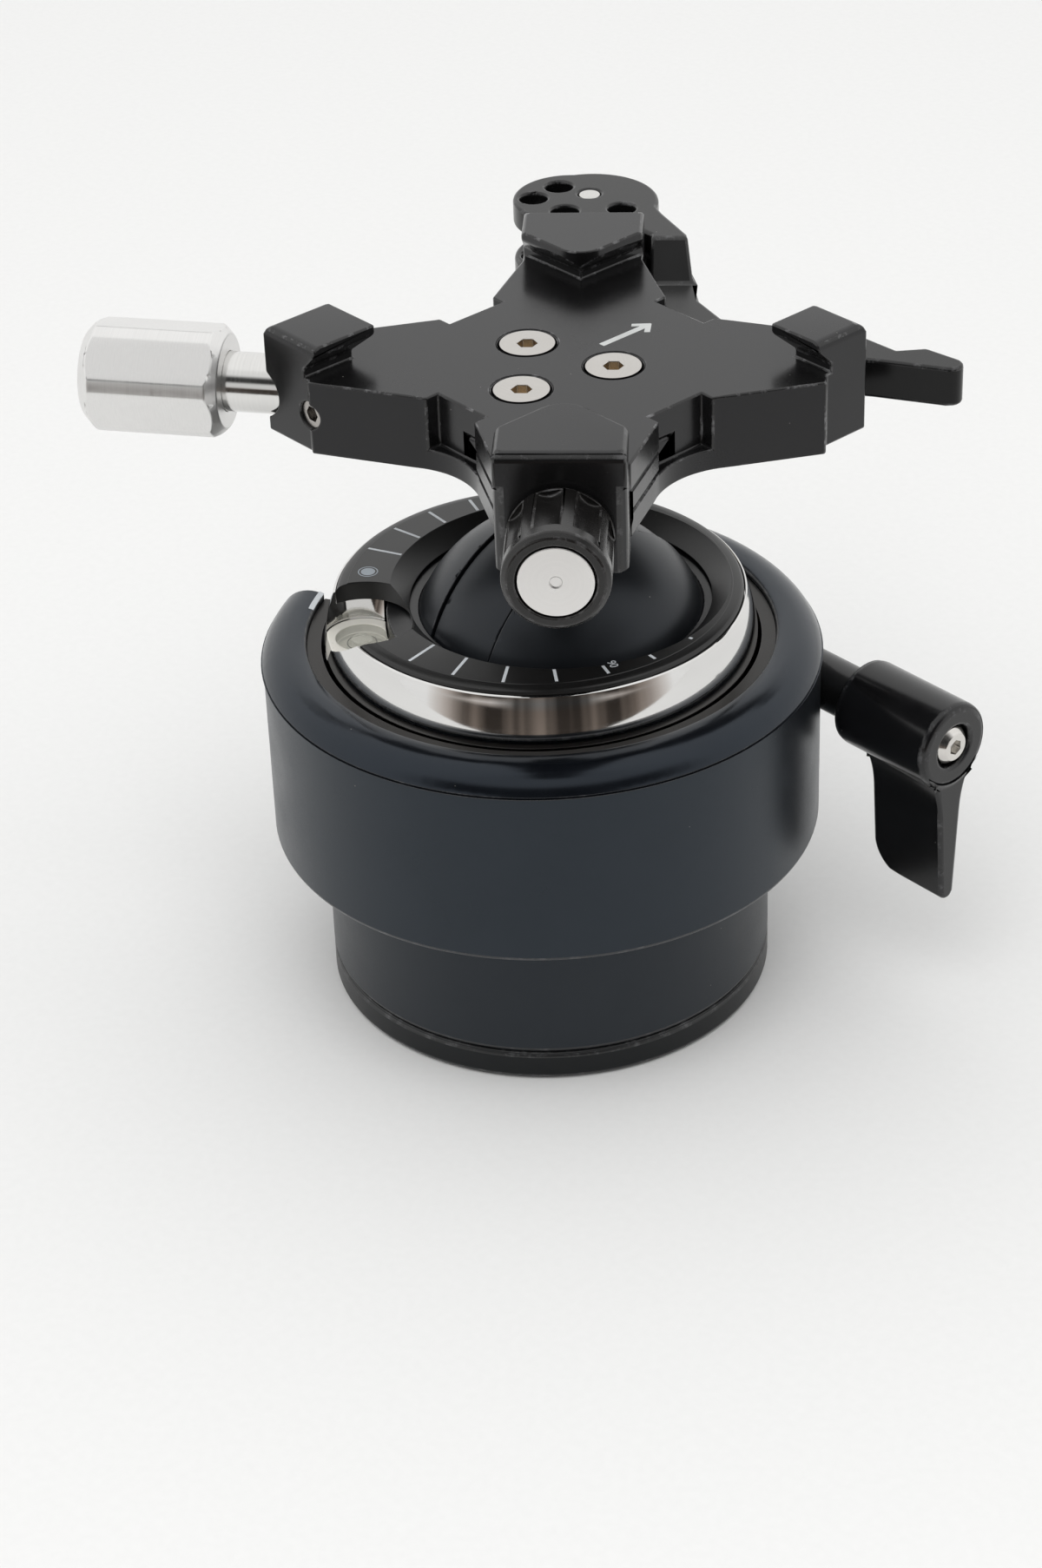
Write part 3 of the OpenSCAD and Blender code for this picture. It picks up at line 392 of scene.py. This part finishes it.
liner_white = moulded("liner_white", (0.72, 0.71, 0.67), 0.45)
dress("ball_liner", liner_white, 0.08)
ball_z, ball_r = 51.8, 31.2
core_r = 15
recess_r, recess_z = 29.0, 60.78
bore_r, bore_z = 25.2, 42.4
throat_r = 20.6
pan = (2.1, 2.1)
level_turn, level_out = math.radians(-121.3), 25.7
level = (level_out * math.cos(level_turn), level_out * math.sin(level_turn))
level_top, level_seat, level_r = 58.1, 55.6, 5.36
scoop = (-11.2, -23.4)
shell_from, shell_sweep, shell_steps = -37.98, 57.5, 46
shell = [(ball_r * math.cos(math.radians(a)), ball_z + ball_r * math.sin(math.radians(a)))
         for a in [shell_from + shell_sweep * i / shell_steps for i in range(shell_steps + 1)]]
shell += [(29.36, 62.4), (29.26, 62.5), (29.12, 62.55), (29.03, 62.52), (recess_r, 62.4), (recess_r, recess_z),
          (core_r, recess_z), (core_r, shell[0][1])]


def scoop_tool():
    """What the milled scoop over the level takes away."""
    bm = lathe([(0, level_top), (5.5, level_top), (7.2, 60.8), (8.5, 63.2), (8.8, 63.5), (9.4, 66), (0, 66)],
               level, 200)
    for vert in bm.verts:
        share = (vert.co.z - level_top) / 6
        vert.co.x += share * (scoop[0] - level[0])
        vert.co.y += share * (scoop[1] - level[1])
    return bm


ball_silver = bare("ball_silver", (0.71, 0.705, 0.695), 0.06, pitch=0.35, depth=0.0004, gloss=0.025, tone=0.02)
ball = carve(lathe(shell, count=320), lathe([(10, bore_z), (bore_r, bore_z), (bore_r, 70), (10, 70)], pan),
             lathe([(10, 20), (throat_r, 20), (throat_r, 50), (10, 50)], pan), scoop_tool(),
             lathe([(0, level_seat), (level_r, level_seat), (level_r, 60), (0, 60)], level, 160))
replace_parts(finish_mesh("ball_shell", ball, ball_silver, "ball", smooth=28), "outer_ball")


# The dial ring is a dyed disc set in the ball's top, dished towards the dome and
# rounded off outside. Its ticks, number and dot are printed on it in pale paint.
dial_low, dial_top = 60.8, 63.4
dial_r, flat_r = 28.9, 27.3
hole, hole_r, hole_low_r = (1.5, 2.6), 24.16, 21.5
dial_black = dyed("dial_black", (0.0075, 0.0073, 0.0073), 0.32, grain=0.22, depth=0.004)
bead = [(dial_r, 62.5), (28.85, 62.72), (28.72, 62.93), (28.5, 63.1), (28.2, 63.21), (27.8, 63.28), (27.4, 63.31)]
dial = carve(lathe([(core_r, dial_low), (dial_r, dial_low), *bead, (flat_r, dial_top), (core_r, dial_top)], count=320),
             lathe([(10, 59), (hole_low_r, 59), (hole_low_r, 60.95), (21.7, 61.15), (24.0, 63.3), (hole_r, 63.42),
                    (hole_r, 66), (10, 66)], hole, 320),
             scoop_tool())
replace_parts(finish_mesh("dial_plate", dial, dial_black[0], "ball", smooth=16), "dial_ring")


def painted(name, colour, roughness=0.5):
    """Thin printed paint, a little blotchy."""
    material, tree, shader = new_material(name)
    out = place(tree, dyed_skin, Colour=(*colour, 1), Roughness=roughness, Grain=0.12, Tone_Shift=0.16,
                Gloss_Shift=0.1, Dust=0.0)
    tree.links.new(out["Colour"], shader.inputs["Base Color"])
    tree.links.new(out["Roughness"], shader.inputs["Roughness"])
    bump = add(tree, "Bump", Height=out["Height"], Distance=0.004 * mm, Strength=0.5)
    tree.links.new(bump.outputs[0], shader.inputs["Normal"])
    return material


def flat_print(bm, outline, low, high):
    """A thin printed shape: an outline in the plane, from one height to another."""
    base = [bm.verts.new((x, y, low)) for x, y in outline]
    top = [bm.verts.new((x, y, high)) for x, y in outline]
    bm.faces.new(base)
    bm.faces.new(top)
    for i in range(len(outline)):
        j = (i + 1) % len(outline)
        bm.faces.new((base[i], base[j], top[j], top[i]))


paint_low = dial_top - 0.02
paint_high = dial_top + 0.02
tick_out, tick_limit = 27.9, 27.15
tick_in = 24.35
tick_half = 0.22
tick_step = 15
bare_from, bare_to = -150, -88
number_at, number_out = -20.5, 25.9
ring_x, ring_y = -1.2, 0.0
dial_paint = painted("dial_paint", (0.62, 0.65, 0.68))


def reach(x, y, c, s, radius):
    """How far a ray from the middle of the ticks runs until it meets a circle."""
    along, across = x * c + y * s, x * s - y * c
    return along + math.sqrt(radius ** 2 - across ** 2)


bm = bmesh.new()
for step in range(360 // tick_step):
    angle = number_at + tick_step * step
    if bare_from < (angle + 180) % 360 - 180 < bare_to:
        continue
    c, s = math.cos(math.radians(angle)), math.sin(math.radians(angle))
    start = reach(hole[0] - ring_x, hole[1] - ring_y, c, s, tick_in)
    end = min(tick_out, reach(-ring_x, -ring_y, c, s, tick_limit))
    if end - start < 0.25:
        continue
    flat_print(bm, [(ring_x + r * c - w * s, ring_y + r * s + w * c) for r, w in
                    ((start, -tick_half), (end, -tick_half), (end, tick_half), (start, tick_half))],
               paint_low, paint_high)
finish_mesh("dial_ticks", bm, dial_paint, "ball")

dot, dot_r = (-19.7, -15.2), 1.02
dot_ring_in, dot_ring_out = 1.28, 1.45
dot_paint = painted("dot_paint", (0.33, 0.37, 0.41))
bm = lathe([(0, paint_low), (dot_r, paint_low), (dot_r, paint_high), (0, paint_high)], dot, 48)
finish_mesh("dial_dot", bm, dot_paint, "ball")
bm = lathe([(dot_ring_in, paint_low), (dot_ring_out, paint_low), (dot_ring_out, paint_high),
            (dot_ring_in, paint_high)], dot, 48)
finish_mesh("dial_dot_ring", bm, dot_paint, "ball")

text = bpy.data.curves.new("dial_number", "FONT")
text.body = "90"
text.size = 1.75 * mm
text.extrude = 0.02 * mm
text.align_x = "CENTER"
text.align_y = "CENTER"
text.materials.append(dial_paint)
number = bpy.data.objects.new("dial_number", text)
bpy.context.scene.collection.objects.link(number)
side = math.radians(number_at) + 1.35 / 25.6
number.matrix_world = (
    Matrix.Translation((number_out * mm * math.cos(side) + ring_x * mm,
                        number_out * mm * math.sin(side) + ring_y * mm, dial_top * mm))
    @ Matrix.Rotation(math.radians(number_at), 4, "Z"))
bpy.context.view_layer.update()
mesh = bpy.data.meshes.new_from_object(number)
mesh.transform(number.matrix_world)
bpy.data.objects.remove(number)
number = bpy.data.objects.new("dial_number", mesh)
bpy.context.scene.collection.objects.link(number)
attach(number, "ball")


# The index line is a short stroke of white paint on the inner edge of the
# housing's rim, for reading the dial.
index_from, index_to, index_steps = -151.8, -143.5, 12
index_outline = ((33.52, 56.07), (34.25, 56.3), (34.25, 56.2), (33.52, 55.97))
bm = bmesh.new()
rings = []
for i in range(index_steps + 1):
    angle = math.radians(index_from + (index_to - index_from) * i / index_steps)
    rings.append([bm.verts.new((r * math.cos(angle), r * math.sin(angle), z)) for r, z in index_outline])
for a, b in zip(rings, rings[1:]):
    for k in range(4):
        bm.faces.new((a[k], a[(k + 1) % 4], b[(k + 1) % 4], b[k]))
bm.faces.new(rings[0])
bm.faces.new(rings[-1])
finish_mesh("index_line", bm, dial_paint, "base")


# The round level is a pale moulded cup pressed into the ball, filled with clear
# spirit over a target ring, with a bubble under its lens.
level_pale = moulded("level_cup_pale", (0.7, 0.68, 0.62), 0.3)
dress("level_cup", level_pale, 0.12)
spirit = (0.74, 0.74, 0.66, 1)
level_glass, tree, shader = new_material("level_glass")
shader.inputs["Base Color"].default_value = spirit
shader.inputs["Alpha"].default_value = 0.3
out = place(tree, dyed_skin, Colour=spirit, Roughness=0.07, Grain=0.8, Tone_Shift=0.03, Gloss_Shift=0.03, Dust=0.0)
tree.links.new(out["Roughness"], shader.inputs["Roughness"])
dress("level_vial", level_glass, 0.1)
bm = lathe([(2.0, 57.15), (2.17, 57.15), (2.17, 57.22), (2.0, 57.22)], level, 72)
finish_mesh("level_target", bm, painted("target_paint", (0.012, 0.012, 0.011)), "ball")
bm = lathe([(0, 57.55), (1.0, 57.55), (1.45, 57.7), (1.52, 57.82), (1.3, 57.93), (0, 57.97)], level, 48)
finish_mesh("level_bubble", bm, level_glass, "ball", smooth=60)


# The panning rotor turns in the ball on a white washer. The two cheeks on it
# and the disc between them make the dome, turned as one sphere and dyed black.
dress("pan_washer", liner_white, 0.08)
dress("pan_rotor", dyed("rotor_black", (0.006, 0.006, 0.0065), 0.32), 0.25)
dome_black = dyed("dome_black", (0.0068, 0.0078, 0.0096), 0.36, grain=0.24, depth=0.005, tint=(0.75, 0.8, 0.87))
for name in ("cheek_left", "cheek_right", "tilt_disc"):
    dress(name, dome_black, 0.18)


# The tilt axle is a ground steel pin through both cheeks. The coil springs that
# are wound round it, of drawn steel wire, balance the load.
axle_at, axle_axis = (*pan, ball_z), (1, 0, 0)
dress("tilt_axle", bare("axle_steel", (0.55, 0.55, 0.56), 0.22, axle_at, axle_axis), 0.15)
spring_steel = bare("spring_steel", (0.35, 0.35, 0.36), 0.3, axle_at, axle_axis)
dress("balance_spring_left", spring_steel)
dress("balance_spring_right", spring_steel)


# The stem is turned aluminium, dyed black. It rises from the tilting disc and
# flares to a flange under the clamp, and the steel brake rod runs down its middle.
dress("stem_post", dyed("stem_black", (0.0075, 0.0078, 0.0085), 0.34), 0.2)
dress("brake_rod", bare("rod_steel", (0.55, 0.55, 0.56), 0.25, (*pan, 0)), 0.15)


# The clamp's body is milled from one block, with two fixed side jaws and the
# back jaw, and dyed a glossier black. Its deck carries a printed lens arrow.
clamp_x, clamp_y, seat_z = 2.1, 5.6, 97.5
# The clamp's broken edges get a strong rub: bright edges that are partly wear and partly a painted highlight.
clamp_black = dyed("clamp_black", (0.0062, 0.0061, 0.0063), 0.23, grain=0.35, depth=0.003, gloss=0.05, rub=0.8,
                   tint=(0.76, 0.76, 0.78))
dress("clamp_body", clamp_black, 0.28)
bm = bmesh.new()
arrow_low, arrow_high = seat_z - 0.02, seat_z + 0.02
arrow_half = [(0.5, 10.9), (0.5, 18.65), (1.3, 17.75), (1.85, 18.35), (0.12, 20.3)]
flat_print(bm, [(clamp_x + x, y) for x, y in arrow_half] + [(clamp_x - x, y) for x, y in reversed(arrow_half)],
           arrow_low, arrow_high)
finish_mesh("lens_arrow", bm, painted("arrow_paint", (0.47, 0.48, 0.475)), "head")


# Three countersunk hex screws hold the clamp to the stem. They are nickel
# plated, and a grub screw beside them stops the clamp from turning.
socket_r, socket_deep, socket_lip = 1.7, 4, 0.05
clamp_nickel = bare("screw_nickel", (0.55, 0.53, 0.505), 0.2, (*pan, 0), pitch=0.25, gloss=0.06)
socket_brown = bare("socket_brown", (0.62, 0.52, 0.39), 0.34, (*pan, 0), pitch=0.2, tone=0.3)
for letter in "abc":
    low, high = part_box("clamp_screw_" + letter)
    spot = (Vector(low) + Vector(high)) / (2 * mm)
    top = high[2] / mm
    dress("clamp_screw_" + letter, (clamp_nickel, clamp_nickel, socket_brown), 0.15,
          inside=lambda at: (math.hypot(at.x - spot.x, at.y - spot.y) < socket_r
                             and top - socket_deep < at.z < top - socket_lip))
dress("grub_screw", bare("grub_nickel", (0.4, 0.38, 0.36), 0.28), 0.12)


# The front jaw slides on a tongue between the clamp's two decks. It is milled
# and dyed as the body is.
jaw_black = dyed("jaw_black", (0.0062, 0.0061, 0.0063), 0.24, grain=0.35, depth=0.003, gloss=0.05,
                 tint=(0.76, 0.76, 0.78))
dress("front_jaw", jaw_black, 0.45, steps=3)


# The adjusting knob is turned and fluted aluminium, dyed black, with a bright
# faced disc let into its end.
knob_axis = (math.sqrt(0.5), -math.sqrt(0.5), 0)
knob_middle = (clamp_x, clamp_y, seat_z - 6.3)
dress("front_knob", dyed("knob_black", (0.0075, 0.007, 0.0068), 0.26, grain=0.4, depth=0.003), 0.25)
disc_silver = bare("disc_silver", (0.82, 0.81, 0.795), 0.3, knob_middle, knob_axis, pitch=0.5, depth=0.003, tone=0.04)
dress("knob_disc", disc_silver, 0.12)


# A steel rod draws the front jaw in. At its back end the cam lever turns on a
# pin and bears on a hardened wear plate.
dress("draw_rod", bare("draw_rod_steel", (0.55, 0.54, 0.53), 0.25, knob_middle, knob_axis), 0.1)
dress("wear_plate", bare("wear_plate_steel", (0.4, 0.36, 0.31), 0.32), 0.12)
cam_black = dyed("cam_black", (0.0045, 0.0045, 0.0046), 0.22, grain=0.4, depth=0.003, tint=(0.5, 0.5, 0.5))
dress("cam_lever", cam_black, 0.5, steps=3)
pin_out = 54.6 * math.sqrt(0.5)
dress("cam_pin", bare("pin_silver", (0.66, 0.65, 0.63), 0.22, (clamp_x - pin_out, clamp_y + pin_out, 0)), 0.2)


# The tilt lock is a bright aluminium knob, turned and then milled with six flats.
# It is screwed on a polished steel spindle that goes into the clamp's left arm.
lock_turn = math.radians(180 - 8 + 45)
lock_axis = (math.cos(lock_turn), math.sin(lock_turn), 0)
lock_middle = (*pan, seat_z - 5.45)
dress("lock_spindle", bare("spindle_silver", (0.72, 0.715, 0.7), 0.14, lock_middle, lock_axis, pitch=0.3), 0.1)
knob_silver = bare("knob_silver", (0.78, 0.775, 0.765), 0.36, lock_middle, lock_axis, pitch=0.22, depth=0.004,
                   gloss=0.07, tone=0.05)
dress("lock_knob", knob_silver, 0.22)


# The studio floor is one sheet of matt white paper, laid flat under the foot and
# turned with the camera. It ends before the camera.
turn = math.radians(49.481)
paper_near, paper_far, paper_half = -0.26, 1.1, 1.1
bm = bmesh.new()
rows = []
for v in (paper_near, -0.05, 0.2, 0.6, paper_far):
    rows.append([bm.verts.new((u * math.cos(turn) - v * math.sin(turn), u * math.sin(turn) + v * math.cos(turn), 0))
                 for u in (-paper_half, -0.4, 0.4, paper_half)])
for a, b in zip(rows, rows[1:]):
    for k in range(3):
        bm.faces.new((a[k], a[k + 1], b[k + 1], b[k]))
floor_mesh = bpy.data.meshes.new("paper")
bm.to_mesh(floor_mesh)
bm.free()
floor = bpy.data.objects.new("paper", floor_mesh)
bpy.context.scene.collection.objects.link(floor)
paper, tree, shader = new_material("paper")
shader.inputs["Roughness"].default_value = 0.9
shader.inputs["Specular IOR Level"].default_value = 0.2
fibre = add(tree, "TexNoise", Vector=add(tree, "TexCoord").outputs["Object"], Scale=700.0, Detail=4.0).outputs[0]
tree.links.new(blend(tree, fibre, (0.75, 0.75, 0.745, 1), (0.79, 0.79, 0.785, 1)), shader.inputs["Base Color"])
floor_mesh.materials.append(paper)


# Soft studio light: white screens on three sides that are brightest high up, a dim
# warm room behind the camera with low strips at its sides, and a large fill lamp
# over the camera.
backdrop = 0.93
world = bpy.data.worlds.new("studio")
bpy.context.scene.world = world
world.use_nodes = True
tree = world.node_tree
background = tree.nodes["Background"]
direction = add(tree, "TexCoord").outputs["Generated"]
level_part = add(tree, "VectorMath", i0=direction, i1=(1.0, 1.0, 0.0))
level_part.operation = "MULTIPLY"
level_way = add(tree, "VectorMath", i0=level_part.outputs[0])
level_way.operation = "NORMALIZE"
facing = add(tree, "VectorMath", i0=level_way.outputs[0], i1=(0.799, -0.602, 0.0))
facing.operation = "DOT_PRODUCT"
height = add(tree, "SeparateXYZ", i0=direction).outputs[2]
screens = ramp(tree, height, 0.0, 0.6, 0.97, 1.08)
folds = add(tree, "TexNoise", Vector=level_way.outputs[0], Scale=5.0, Detail=2.0).outputs[0]
dim = sum_of(tree, "MULTIPLY", ramp(tree, folds, 0.4, 0.65, 0.05, 0.28), ramp(tree, height, -0.4, 0.5, 1.0, 0.3))
low = sum_of(tree, "MULTIPLY", ramp(tree, height, 0.02, 0.08, 0.0, 1.0), ramp(tree, height, 0.3, 0.42, 1.0, 0.0))
strip = sum_of(tree, "MULTIPLY", low, ramp(tree, facing.outputs["Value"], 0.86, 0.95, 1.0, 0.0))
above = ramp(tree, height, 0.62, 0.76, 0.0, 1.0)
behind = sum_of(tree, "MULTIPLY_ADD", strip, 0.75, sum_of(tree, "MULTIPLY_ADD", above, 0.85, dim))
shade = ramp(tree, facing.outputs["Value"], 0.42, 0.74, 0.0, 1.0)
bright = sum_of(tree, "ADD", sum_of(tree, "MULTIPLY", shade, behind),
                sum_of(tree, "MULTIPLY", sum_of(tree, "SUBTRACT", 1.0, shade), screens))
seen = add(tree, "LightPath").outputs["Is Camera Ray"]
unseen = sum_of(tree, "SUBTRACT", 1.0, seen)
tree.links.new(sum_of(tree, "ADD", sum_of(tree, "MULTIPLY", seen, backdrop),
                      sum_of(tree, "MULTIPLY", unseen, bright)), background.inputs["Strength"])
warm = sum_of(tree, "MULTIPLY", shade, ramp(tree, height, 0.0, 0.1, 1.0, 0.0))
tree.links.new(blend(tree, sum_of(tree, "MULTIPLY", warm, unseen), (1.0, 1.0, 0.995, 1), (1.0, 0.82, 0.7, 1)),
               background.inputs["Color"])
lamp_data = bpy.data.lights.new("front_fill", "AREA")
lamp_data.energy = 19
lamp_data.size = 1.8
lamp = bpy.data.objects.new("front_fill", lamp_data)
lamp.location = (0.75, -0.72, 1.65)
lamp.rotation_euler = lamp.location.to_track_quat("Z", "Y").to_euler()
lamp.visible_glossy = False
bpy.context.scene.collection.objects.link(lamp)


# The camera stands where the photograph's did, and looks a little down on the
# head with a long lens.
camera_data = bpy.data.cameras.new("camera")
camera_data.lens = 82.174
camera_data.sensor_width = 36
camera_data.sensor_height = 36
camera_data.sensor_fit = "VERTICAL"
camera = bpy.data.objects.new("camera", camera_data)
camera.matrix_world = (Matrix.Translation((0.33197, -0.28858, 0.31514)) @ Matrix.Rotation(turn, 4, "Z")
                       @ Matrix.Rotation(math.radians(57.015), 4, "X")
                       @ Matrix.Rotation(math.radians(-2.177), 4, "Z"))
bpy.context.scene.collection.objects.link(camera)
bpy.context.scene.camera = camera
bpy.context.scene.view_settings.view_transform = "Standard"
